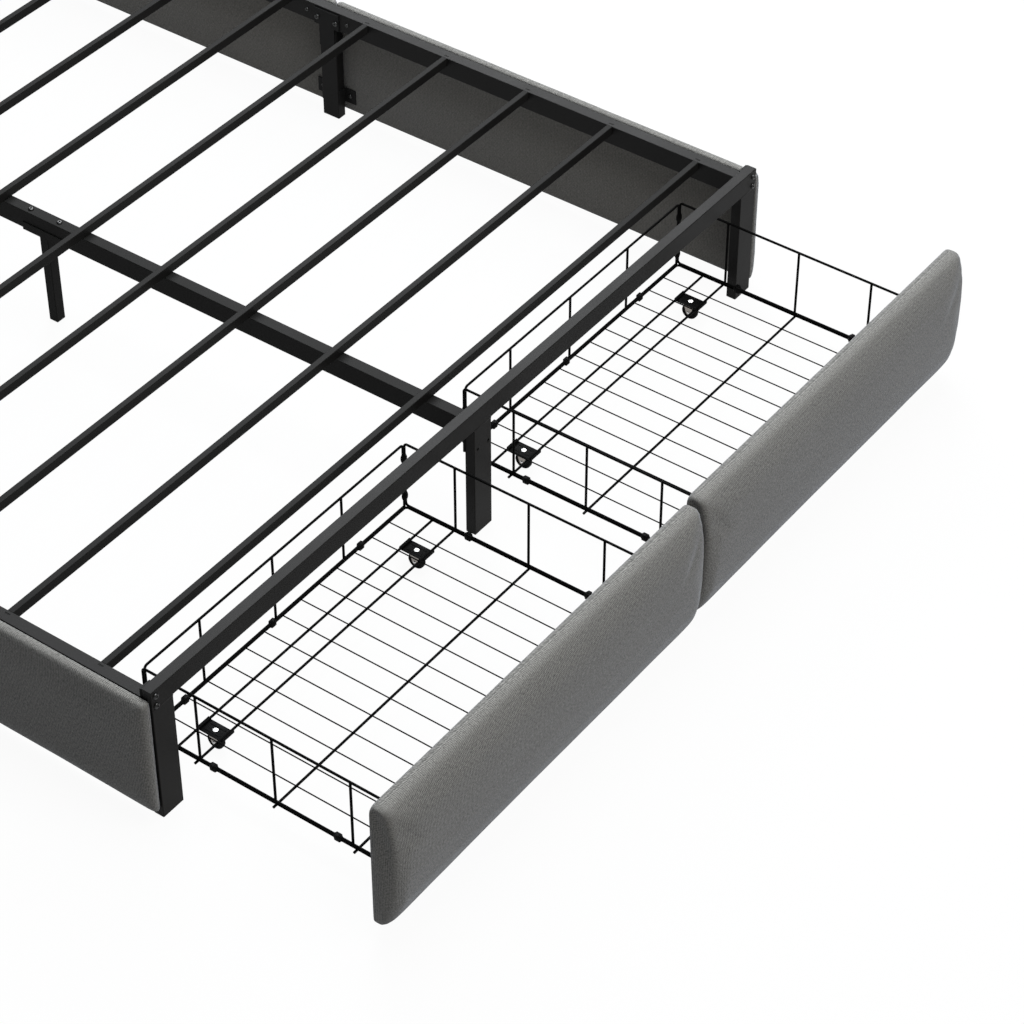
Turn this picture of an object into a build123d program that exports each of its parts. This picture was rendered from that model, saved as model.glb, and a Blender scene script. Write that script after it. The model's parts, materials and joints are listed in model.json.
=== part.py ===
from build123d import *
import os

os.makedirs("parts", exist_ok=True)

# Platform bed with two storage drawers that roll out at its foot end, in millimetres.
# The origin is on the floor at the middle of the bed's plan.
# +X runs across the bed, +Y runs from the foot end to the head end, +Z is up.
# The drawers stand pulled out, which is their rest position.

# ---------------------------------------------------------------- driving dimensions
BED_WIDTH = 1830.0            # length of the foot and head beams
BED_LENGTH = 2157.0           # outside of the foot beam to outside of the head beam
BEAM_DEPTH, BEAM_HEIGHT = 22.0, 43.0
BEAM_TOP = 298.0
DECK_TOP = 276.0              # top of the rails and slats, which carry the mattress
RAIL_WIDTH, RAIL_HEIGHT = 25.0, 44.0
SLAT_WIDTH, SLAT_HEIGHT = 13.0, 20.0
SLAT_COUNT, SLAT_PITCH = 10, 211.3
CENTRE_WIDTH, CENTRE_HEIGHT = 25.0, 44.0
LEG_WIDTH = 52.0              # across the bed, foot and head legs
SIDE_LEG_DEPTH, SIDE_LEG_WIDTH = 23.0, 43.4
WALL = 1.5                    # tube wall
TUBE_EDGE = 1.5               # rounded outer edge of the tubes
PLATE = 3.0                   # joint plates and end plates
BRACKET = 2.5                 # bent brackets
BOLT_D, BOLT_HOLE, BOLT_HEAD_D, BOLT_HEAD_H = 6.0, 6.6, 12.0, 3.3
SCREW_D, SCREW_HOLE, SCREW_HEAD_D, SCREW_HEAD_H = 4.0, 4.4, 9.0, 2.6
HEAD_TAPER = 25.0             # slope of the sides of a bolt head
BEAM_PLUG, FOOT_PLUG = 6.0, 12.0     # depth of the plugs in the beam ends and in the feet

PANEL_THICK = 25.0            # upholstered side panel at its fullest
PANEL_BOTTOM, PANEL_TOP = 14.0, 279.5
PANEL_TOE, PANEL_BROW = 34.0, 16.0   # height of the rounding at its foot and at its top
PANEL_GAP = 3.0               # between the foot and head panels of one side
BOARD_THICK, BOARD_INSET = 6.0, 9.0

FRONT_WIDTH = 896.0           # upholstered drawer front
FRONT_THICK = 58.0
FRONT_BOTTOM, FRONT_TOP = 25.0, 304.0
FRONT_TOE, FRONT_BROW = 38.0, 30.0
FRONT_BOARD_THICK = 12.0
CLOSED_GAP = 4.5              # drawer front to foot beam when the drawer is shut
BASKET_WIDTH, BASKET_DEPTH = 727.6, 566.0
BASKET_TOP = 205.0            # centre of the top wires
FRAME_WIRE, CROSS_WIRE, FINE_WIRE = 5.0, 5.0, 2.6
WIRE_BEND = 7.0
WIRE_GAP = 0.05               # between wires that lie against each other
FINE_PITCH, FINE_COUNT = 52.0, 13
CROSS_FROM_BACK = (59.0, 109.0, 283.0, 457.0, 507.0)
STUB = 7.0                    # cross wires run on past the side wires
SIDE_POSTS_FROM_BACK = (116.0, 283.0, 450.0)
BACK_POSTS_FROM_LEFT = (148.0, 345.0, 541.0)
SIDE_CLIPS_FROM_BACK = (146.0, 418.0)
BACK_CLIPS_FROM_LEFT = (95.0, 335.0, 590.0)
CORNER_CLIP_HEIGHTS = {"left": (79.0, 150.0), "right": (79.0, 171.0)}
CLIP_LONG, CLIP_ACROSS, CLIP_TALL = 13.0, 9.5, 15.0

CASTER_INSET, CASTER_FROM_BACK = 77.0, 84.0
CASTER_PLATE_TOP = 42.0
PLATE_X, PLATE_Y, PLATE_Z = 32.0, 56.0, 2.0
WHEEL_D, WHEEL_WIDTH, AXLE_D, WHEEL_BORE = 35.0, 11.0, 4.0, 4.16
CHEEK_THICK, CHEEK_GAP = 1.6, 0.6
CHEEK_TOP_HALF, CHEEK_FOOT_HALF, CHEEK_ROUND, CHEEK_NECK = 13.0, 5.0, 5.5, 2.0
AXLE_PROUD, TREAD_ROUND = 1.0, 2.0
RIVET_D, RIVET_H, RIVET_TAPER = 7.0, 1.6, 30.0

# Each drawer: x of the front's left end, x of the left side wires, and how far it is pulled out.
DRAWERS = {
    "left": {"front_x": -905.5, "basket_x": -810.5, "pulled": 442.5},
    "right": {"front_x": 8.0, "basket_x": 109.0, "pulled": 435.5},
}

# ---------------------------------------------------------------- derived places
HALF_W, HALF_L = BED_WIDTH / 2, BED_LENGTH / 2
LEG_TOP = BEAM_TOP - BEAM_HEIGHT
BEAM_MID = BEAM_TOP - BEAM_HEIGHT / 2
BEAM_BACK = HALF_L - BEAM_DEPTH             # inner face of both beams, as a distance from y = 0
RAIL_BOTTOM = DECK_TOP - RAIL_HEIGHT
RAIL_MID = DECK_TOP - RAIL_HEIGHT / 2
RAIL_X = HALF_W - RAIL_WIDTH / 2
RAIL_INNER = HALF_W - RAIL_WIDTH
CENTRE_TOP = DECK_TOP - SLAT_HEIGHT
CENTRE_BOTTOM = CENTRE_TOP - CENTRE_HEIGHT
WHEEL_R = WHEEL_D / 2
CROSS_Z = CASTER_PLATE_TOP + CROSS_WIRE / 2 + WIRE_GAP
FINE_Z = CROSS_Z + (CROSS_WIRE + FINE_WIRE) / 2 + WIRE_GAP
FLOOR_FRAME_Z = CROSS_Z + (CROSS_WIRE + FRAME_WIRE) / 2 + WIRE_GAP
SIDE_FRAME_Z = FLOOR_FRAME_Z + FRAME_WIRE + WIRE_GAP
ENDS = {"foot": -1, "head": 1}
SIDES = {"left": -1, "right": 1}


def save(piece, name):
    piece.part.label = name
    export_step(piece.part, f"parts/{name}.step")


def hollow_bar(plane, width, height, length):
    """A rectangular tube from the plane's origin along its normal."""
    with BuildSketch(plane) as section:
        RectangleRounded(width, height, TUBE_EDGE)
        Rectangle(width - 2 * WALL, height - 2 * WALL, mode=Mode.SUBTRACT)
    extrude(section.sketch, amount=length)


def solid_block(low, high, mode=Mode.ADD):
    """A plain block between two opposite corners."""
    size = [b - a for a, b in zip(low, high)]
    middle = [(a + b) / 2 for a, b in zip(low, high)]
    with Locations(tuple(middle)):
        Box(*size, mode=mode)


def wire(points, diameter, bend=None):
    """A round wire along straight runs, bent to one radius at each inner point."""
    with BuildLine() as route:
        if bend:
            FilletPolyline(*points, radius=bend)
        else:
            Line(*points)
    with BuildSketch(Plane(origin=route.line @ 0, z_dir=route.line % 0)) as section:
        Circle(diameter / 2)
    sweep(section.sketch, path=route.line)


def button_bolt(origin, direction, length, shank_d=BOLT_D, head_d=BOLT_HEAD_D, head_h=BOLT_HEAD_H):
    """A round-headed bolt: the head stands on the surface at origin, the shank runs along direction."""
    seat = Plane(origin=origin, z_dir=direction)
    with BuildSketch(seat) as shank:
        Circle(shank_d / 2)
    extrude(shank.sketch, amount=length)
    with BuildSketch(seat) as head:
        Circle(head_d / 2)
    extrude(head.sketch, amount=-head_h, taper=HEAD_TAPER)


def cross_holes(hand, places, diameter, depth):
    """Holes from the side face of the bed inwards, at (y, z) places."""
    with BuildSketch(Plane(origin=(hand * HALF_W, 0, 0), x_dir=(0, 1, 0), z_dir=(hand, 0, 0))) as holes:
        with Locations([(y, hand * z) for y, z in places]):
            Circle(diameter / 2)
    extrude(holes.sketch, amount=-depth, mode=Mode.SUBTRACT)


# ---------------------------------------------------------------- foot and head frames
BEAM_BOLT_X = HALF_W - 10.7
BEAM_BOLT_Z = (262.0, 284.0)
CENTRE_PLATE_HALF, CENTRE_PLATE_BOTTOM = 28.0, 195.0
CENTRE_BOLT_X, CENTRE_BOLT_Z = 16.0, 205.0

for end, way in ENDS.items():
    outer_y = way * HALF_L
    middle_y = way * (HALF_L - BEAM_DEPTH / 2)
    bolt_face = Plane(origin=(0, outer_y, 0), x_dir=(1, 0, 0), z_dir=(0, way, 0))
    with BuildPart() as beam:
        start = Plane(origin=(-HALF_W, middle_y, BEAM_MID), x_dir=(0, 1, 0), z_dir=(1, 0, 0))
        hollow_bar(start, BEAM_DEPTH, BEAM_HEIGHT, BED_WIDTH)
        with BuildSketch(bolt_face):
            with Locations([(x, -way * z) for x in (-BEAM_BOLT_X, BEAM_BOLT_X) for z in BEAM_BOLT_Z]):
                Circle(BOLT_HOLE / 2)
        extrude(amount=-BEAM_DEPTH, mode=Mode.SUBTRACT)
    save(beam, f"{end}_beam")

    leg_places = {"left": -HALF_W + LEG_WIDTH / 2, "middle": 0.0, "right": HALF_W - LEG_WIDTH / 2}
    for place, leg_x in leg_places.items():
        with BuildPart() as leg:
            hollow_bar(Plane(origin=(leg_x, middle_y, 0)), LEG_WIDTH, BEAM_DEPTH, LEG_TOP)
            if place == "middle":
                with BuildSketch(bolt_face):
                    with Locations([(x, -way * CENTRE_BOLT_Z) for x in (-CENTRE_BOLT_X, CENTRE_BOLT_X)]):
                        Circle(BOLT_HOLE / 2)
                extrude(amount=-BEAM_DEPTH, mode=Mode.SUBTRACT)
        save(leg, f"{end}_leg_{place}")

# ---------------------------------------------------------------- side rails and side legs
SLOT_LONG, SLOT_WIDE = 11.0, 3.2            # slot in a rail for the hook of a slat
HOOK_LONG, HOOK_WIDE, HOOK_THICK = 9.0, 10.0, 2.0
SEAM_BOLT_Y, SEAM_BOLT_Z = 25.0, 249.0
SEAM_PLATE_HALF, SEAM_PLATE_BOTTOM, SEAM_PLATE_TOP = 33.5, 180.0, 271.0
RAIL_SCREW_Y, RAIL_SCREW_Z = 55.0, 255.0    # screw through the rail into a side panel
SLOT_PLAY = 0.5                             # a slot is cut this much past the tube wall
HOOK_PLAY, HOOK_DROP = 0.6, 0.4             # hook to the end of its slot, and below the wall over it
slat_places = [(i - (SLAT_COUNT - 1) / 2) * SLAT_PITCH for i in range(SLAT_COUNT)]

for side, hand in SIDES.items():
    for end, way in ENDS.items():
        rail_start = way * (BEAM_BACK - PLATE)
        with BuildPart() as rail:
            section = Plane(origin=(hand * RAIL_X, rail_start, RAIL_MID),
                            x_dir=(1, 0, 0), z_dir=(0, -way, 0))
            hollow_bar(section, RAIL_WIDTH, RAIL_HEIGHT, abs(rail_start))
            # a slot through the inner wall and one through the top for each slat's hook
            for y in slat_places:
                if y * way > 0:
                    inner = sorted((hand * (RAIL_INNER - 1), hand * (RAIL_INNER + WALL + SLOT_PLAY)))
                    solid_block((inner[0], y - SLOT_LONG / 2, DECK_TOP - WALL - SLOT_WIDE),
                                (inner[1], y + SLOT_LONG / 2, DECK_TOP - WALL), Mode.SUBTRACT)
                    slot_end = RAIL_INNER + HOOK_LONG
                    top = sorted((hand * slot_end, hand * (slot_end - SLOT_WIDE)))
                    solid_block((top[0], y - SLOT_LONG / 2, DECK_TOP - WALL - SLOT_PLAY),
                                (top[1], y + SLOT_LONG / 2, DECK_TOP + 1), Mode.SUBTRACT)
            # half of the bolt pattern at the seam between the two rails of a side
            cross_holes(hand, [(way * SEAM_BOLT_Y, SEAM_BOLT_Z)], BOLT_HOLE, RAIL_WIDTH)
            cross_holes(hand, [(way * RAIL_SCREW_Y, RAIL_SCREW_Z)], SCREW_HOLE, RAIL_WIDTH)
        save(rail, f"{side}_rail_{end}")

    with BuildPart() as side_leg:
        leg_x = hand * (RAIL_INNER + SIDE_LEG_DEPTH / 2)
        hollow_bar(Plane(origin=(leg_x, 0, 0)), SIDE_LEG_DEPTH, SIDE_LEG_WIDTH, RAIL_BOTTOM)
    save(side_leg, f"{side}_side_leg")

# ---------------------------------------------------------------- centre beam and its support
SADDLE_HALF, SADDLE_WALL, SADDLE_LIP_TOP = 52.0, 2.0, 228.0
CENTRE_SEAM_BOLT_Y = 38.0
SUPPORT_X, SUPPORT_Y = 23.0, 22.0

for end, way in ENDS.items():
    beam_start = way * (BEAM_BACK - PLATE)
    with BuildPart() as centre_beam:
        section = Plane(origin=(0, beam_start, CENTRE_TOP - CENTRE_HEIGHT / 2),
                        x_dir=(1, 0, 0), z_dir=(0, -way, 0))
        hollow_bar(section, CENTRE_WIDTH, CENTRE_HEIGHT, abs(beam_start))
        with BuildSketch(Plane.XY.offset(CENTRE_TOP)):
            with Locations((0, way * CENTRE_SEAM_BOLT_Y)):
                Circle(BOLT_HOLE / 2)
        extrude(amount=-CENTRE_HEIGHT, mode=Mode.SUBTRACT)
    save(centre_beam, f"centre_beam_{end}")

with BuildPart() as support:
    saddle_x = CENTRE_WIDTH / 2 + SADDLE_WALL
    solid_block((-saddle_x, -SADDLE_HALF, CENTRE_BOTTOM - SADDLE_WALL),
                (saddle_x, SADDLE_HALF, CENTRE_BOTTOM))
    for hand in SIDES.values():
        lip = sorted((hand * saddle_x, hand * CENTRE_WIDTH / 2))
        solid_block((lip[0], -SADDLE_HALF, CENTRE_BOTTOM), (lip[1], SADDLE_HALF, SADDLE_LIP_TOP))
    hollow_bar(Plane.XY, SUPPORT_X, SUPPORT_Y, CENTRE_BOTTOM - SADDLE_WALL)
    with BuildSketch(Plane.XY):
        Rectangle(SUPPORT_X - 2 * WALL, SUPPORT_Y - 2 * WALL)
    extrude(amount=2 * WALL)
    with BuildSketch(Plane.XY.offset(CENTRE_BOTTOM)):
        with Locations((0, -CENTRE_SEAM_BOLT_Y), (0, CENTRE_SEAM_BOLT_Y)):
            Circle(BOLT_HOLE / 2)
    extrude(amount=-SADDLE_WALL, mode=Mode.SUBTRACT)
save(support, "centre_support")

# ---------------------------------------------------------------- welded joint plates
with BuildPart() as joint_plates:
    for way in ENDS.values():
        # on the ends of the rails and of the centre beam, against the foot and head frames
        plate_y = sorted((way * (BEAM_BACK - PLATE), way * BEAM_BACK))
        solid_block((-CENTRE_PLATE_HALF, plate_y[0], CENTRE_PLATE_BOTTOM),
                    (CENTRE_PLATE_HALF, plate_y[1], CENTRE_TOP))
        for hand in SIDES.values():
            plate_x = sorted((hand * RAIL_INNER, hand * HALF_W))
            solid_block((plate_x[0], plate_y[0], RAIL_BOTTOM), (plate_x[1], plate_y[1], BEAM_TOP - WALL))
        with BuildSketch(Plane(origin=(0, way * BEAM_BACK, 0), x_dir=(1, 0, 0), z_dir=(0, way, 0))):
            with Locations([(x, -way * CENTRE_BOLT_Z) for x in (-CENTRE_BOLT_X, CENTRE_BOLT_X)]):
                Circle(BOLT_HOLE / 2)
            with Locations([(x, -way * z) for x in (-BEAM_BOLT_X, BEAM_BOLT_X) for z in BEAM_BOLT_Z]):
                Circle(BOLT_HOLE / 2)
        extrude(amount=-PLATE, mode=Mode.SUBTRACT)
    for hand in SIDES.values():
        # over each side leg, tying the two rails of a side together
        plate_x = sorted((hand * (RAIL_INNER - PLATE), hand * RAIL_INNER))
        solid_block((plate_x[0], -SEAM_PLATE_HALF, RAIL_BOTTOM),
                    (plate_x[1], SEAM_PLATE_HALF, SEAM_PLATE_TOP))
        solid_block((plate_x[0], -SIDE_LEG_WIDTH / 2 + TUBE_EDGE, SEAM_PLATE_BOTTOM),
                    (plate_x[1], SIDE_LEG_WIDTH / 2 - TUBE_EDGE, RAIL_BOTTOM))
        with BuildSketch(Plane(origin=(hand * RAIL_INNER, 0, 0), x_dir=(0, 1, 0), z_dir=(hand, 0, 0))):
            with Locations([(y, hand * SEAM_BOLT_Z) for y in (-SEAM_BOLT_Y, SEAM_BOLT_Y)]):
                Circle(BOLT_HOLE / 2)
        extrude(amount=-PLATE, mode=Mode.SUBTRACT)
save(joint_plates, "joint_plates")

# ---------------------------------------------------------------- slats
HOOK_RISE = DECK_TOP - HOOK_DROP
HOOK_UNDER = DECK_TOP - WALL - HOOK_DROP
HOOK_END = RAIL_INNER + HOOK_LONG - HOOK_PLAY
for number, y in enumerate(slat_places, start=1):
    with BuildPart() as slat:
        start = Plane(origin=(-RAIL_INNER, y, DECK_TOP - SLAT_HEIGHT / 2), x_dir=(0, 1, 0), z_dir=(1, 0, 0))
        hollow_bar(start, SLAT_WIDTH, SLAT_HEIGHT, 2 * RAIL_INNER)
        for hand in SIDES.values():
            cap = sorted((hand * (RAIL_INNER - WALL), hand * RAIL_INNER))
            solid_block((cap[0], y - SLAT_WIDTH / 2 + WALL, DECK_TOP - SLAT_HEIGHT + WALL),
                        (cap[1], y + SLAT_WIDTH / 2 - WALL, DECK_TOP - WALL))
            tongue = sorted((hand * (RAIL_INNER - WALL), hand * HOOK_END))
            solid_block((tongue[0], y - HOOK_WIDE / 2, HOOK_UNDER - HOOK_THICK),
                        (tongue[1], y + HOOK_WIDE / 2, HOOK_UNDER))
            tip = sorted((hand * HOOK_END, hand * (HOOK_END - HOOK_THICK)))
            solid_block((tip[0], y - HOOK_WIDE / 2, HOOK_UNDER), (tip[1], y + HOOK_WIDE / 2, HOOK_RISE))
    save(slat, f"slat_{number:02d}")

# ---------------------------------------------------------------- brackets, bolts and tube plugs
FOOT_BRACKET_LOW, FOOT_BRACKET_HIGH, FOOT_BRACKET_REACH = 36.0, 71.0, 30.0
RAIL_BRACKET_LOW, RAIL_BRACKET_REACH = 199.0, 20.0
BRACKET_SHY = 2.0                           # a bracket stops this far inside the edge of its leg
BRACKET_BOLT_Z = (FOOT_BRACKET_LOW + FOOT_BRACKET_HIGH) / 2
BRACKET_BOLT_Y = SIDE_LEG_WIDTH / 2 + (FOOT_BRACKET_REACH + BRACKET) / 2
panel_screws = [(RAIL_SCREW_Y, RAIL_SCREW_Z), (BRACKET_BOLT_Y, BRACKET_BOLT_Z)]
panel_screws += [(-y, z) for y, z in panel_screws]

with BuildPart() as brackets:
    for hand in SIDES.values():
        # below the rail, on the foot side of each side leg
        face_y = -SIDE_LEG_WIDTH / 2
        span = sorted((hand * (RAIL_INNER + BRACKET_SHY),
                       hand * (RAIL_INNER + SIDE_LEG_DEPTH - BRACKET_SHY)))
        solid_block((span[0], face_y - BRACKET, RAIL_BRACKET_LOW), (span[1], face_y, RAIL_BOTTOM))
        solid_block((span[0], face_y - RAIL_BRACKET_REACH, RAIL_BOTTOM - BRACKET),
                    (span[1], face_y - BRACKET, RAIL_BOTTOM))
        # low down, from both faces of each side leg to the inside of the two panels
        for way in ENDS.values():
            leg_face = way * SIDE_LEG_WIDTH / 2
            flange_y = sorted((leg_face, leg_face + way * BRACKET))
            flange_x = sorted((hand * (RAIL_INNER + BRACKET_SHY), hand * HALF_W))
            solid_block((flange_x[0], flange_y[0], FOOT_BRACKET_LOW),
                        (flange_x[1], flange_y[1], FOOT_BRACKET_HIGH))
            reach_y = sorted((leg_face + way * BRACKET, leg_face + way * FOOT_BRACKET_REACH))
            reach_x = sorted((hand * (HALF_W - BRACKET), hand * HALF_W))
            solid_block((reach_x[0], reach_y[0], FOOT_BRACKET_LOW),
                        (reach_x[1], reach_y[1], FOOT_BRACKET_HIGH))
        bolt_places = [(-BRACKET_BOLT_Y, BRACKET_BOLT_Z), (BRACKET_BOLT_Y, BRACKET_BOLT_Z)]
        cross_holes(hand, bolt_places, SCREW_HOLE, BRACKET)
save(brackets, "panel_brackets")

NUT_REACH = 6.0               # a bolt stands out this far where it carries a nut
SCREW_BITE = BOARD_THICK - 1  # how deep a screw goes into a panel's board
with BuildPart() as bolts:
    for way in ENDS.values():
        for x in (-BEAM_BOLT_X, BEAM_BOLT_X):
            for z in BEAM_BOLT_Z:
                button_bolt((x, way * HALF_L, z), (0, -way, 0), BEAM_DEPTH + PLATE + NUT_REACH)
        for x in (-CENTRE_BOLT_X, CENTRE_BOLT_X):
            button_bolt((x, way * (BEAM_BACK - PLATE), CENTRE_BOLT_Z), (0, way, 0),
                        BEAM_DEPTH + PLATE - WALL)
        button_bolt((0, way * CENTRE_SEAM_BOLT_Y, CENTRE_TOP), (0, 0, -1),
                    CENTRE_HEIGHT + SADDLE_WALL + NUT_REACH)
        for hand in SIDES.values():
            button_bolt((hand * (RAIL_INNER - PLATE), way * SEAM_BOLT_Y, SEAM_BOLT_Z), (hand, 0, 0),
                        RAIL_WIDTH + PLATE - WALL)
            screw_sizes = (SCREW_D, SCREW_HEAD_D, SCREW_HEAD_H)
            button_bolt((hand * RAIL_INNER, way * RAIL_SCREW_Y, RAIL_SCREW_Z), (hand, 0, 0),
                        RAIL_WIDTH + SCREW_BITE, *screw_sizes)
            button_bolt((hand * (HALF_W - BRACKET), way * BRACKET_BOLT_Y, BRACKET_BOLT_Z), (hand, 0, 0),
                        BRACKET + SCREW_BITE, *screw_sizes)
save(bolts, "frame_bolts")

with BuildPart() as plugs:
    for way in ENDS.values():
        middle_y = way * (HALF_L - BEAM_DEPTH / 2)
        for hand in SIDES.values():
            cap = sorted((hand * HALF_W, hand * (HALF_W - BEAM_PLUG)))
            solid_block((cap[0], middle_y - BEAM_DEPTH / 2 + WALL, BEAM_TOP - BEAM_HEIGHT + WALL),
                        (cap[1], middle_y + BEAM_DEPTH / 2 - WALL, BEAM_TOP - WALL))
        for leg_x in (-HALF_W + LEG_WIDTH / 2, 0.0, HALF_W - LEG_WIDTH / 2):
            solid_block((leg_x - LEG_WIDTH / 2 + WALL, middle_y - BEAM_DEPTH / 2 + WALL, 0),
                        (leg_x + LEG_WIDTH / 2 - WALL, middle_y + BEAM_DEPTH / 2 - WALL, FOOT_PLUG))
    for hand in SIDES.values():
        inner, outer = sorted((hand * (RAIL_INNER + WALL), hand * (RAIL_INNER + SIDE_LEG_DEPTH - WALL)))
        half = SIDE_LEG_WIDTH / 2 - WALL
        solid_block((inner, -half, 0), (outer, half, FOOT_PLUG))
save(plugs, "tube_plugs")

# ---------------------------------------------------------------- upholstered side panels
PANEL_SPAN = HALF_L - 1 - PANEL_GAP / 2
SHOULDER_IN, SHOULDER_DROP = 0.42, 0.12     # where the rounding passes, as shares of depth and height
EDGE_IN = 0.86                              # where the rounding meets the bulge of the face


def crowned_profile(depth, low, high, toe, brow):
    """Padded section with its flat back on the local y axis, fullest half way up. The face bulges
    slightly between a rounding toe high at the foot and one brow high at the top."""
    with BuildLine() as outline:
        Line((0, low), (0, high))
        shoulder, edge = depth * SHOULDER_IN, depth * EDGE_IN
        top = ThreePointArc((0, high), (shoulder, high - brow * SHOULDER_DROP), (edge, high - brow))
        bottom = ThreePointArc((0, low), (shoulder, low + toe * SHOULDER_DROP), (edge, low + toe))
        ThreePointArc(top @ 1, (depth, (low + high) / 2), bottom @ 1)
    make_face(outline.edges())


panel_places = {}
for side, hand in SIDES.items():
    for end, way in ENDS.items():
        near, far = way * PANEL_GAP / 2, way * (PANEL_GAP / 2 + PANEL_SPAN)
        with BuildPart() as panel:
            section = Plane(origin=(hand * HALF_W, near, 0), x_dir=(hand, 0, 0), z_dir=(0, -hand, 0))
            with BuildSketch(section):
                crowned_profile(PANEL_THICK, PANEL_BOTTOM, PANEL_TOP, PANEL_TOE, PANEL_BROW)
            extrude(amount=-hand * way * PANEL_SPAN)
            y_low, y_high = sorted((near + way * BOARD_INSET, far - way * BOARD_INSET))
            pocket_x = sorted((hand * HALF_W, hand * (HALF_W + BOARD_THICK)))
            panel_places[side, end] = (pocket_x, y_low, y_high)
            solid_block((pocket_x[0], y_low, PANEL_BOTTOM + BOARD_INSET),
                        (pocket_x[1], y_high, PANEL_TOP - BOARD_INSET), Mode.SUBTRACT)
        save(panel, f"{side}_panel_{end}")

with BuildPart() as boards:
    for pocket_x, y_low, y_high in panel_places.values():
        solid_block((pocket_x[0], y_low, PANEL_BOTTOM + BOARD_INSET),
                    (pocket_x[1], y_high, PANEL_TOP - BOARD_INSET))
    for hand in SIDES.values():
        cross_holes(hand, panel_screws, SCREW_D, -BOARD_THICK)
save(boards, "panel_boards")


# ---------------------------------------------------------------- drawers
def clip_block(centre, along, wires):
    """A moulded clip round wires that lie against each other; along is the index of their axis."""
    size = [CLIP_ACROSS, CLIP_ACROSS, CLIP_ACROSS]
    size[along] = CLIP_LONG
    size[2 if along != 2 else wires["wide"]] = CLIP_TALL
    with Locations(tuple(centre)):
        Box(*size)
    direction = [0, 0, 0]
    direction[along] = 1
    for spot in wires["spots"]:
        start = list(spot)
        start[along] = centre[along] - CLIP_LONG
        with BuildSketch(Plane(origin=tuple(start), z_dir=tuple(direction))) as bore:
            Circle(FRAME_WIRE / 2 + WIRE_GAP)
        extrude(bore.sketch, amount=2 * CLIP_LONG, mode=Mode.SUBTRACT)


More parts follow.
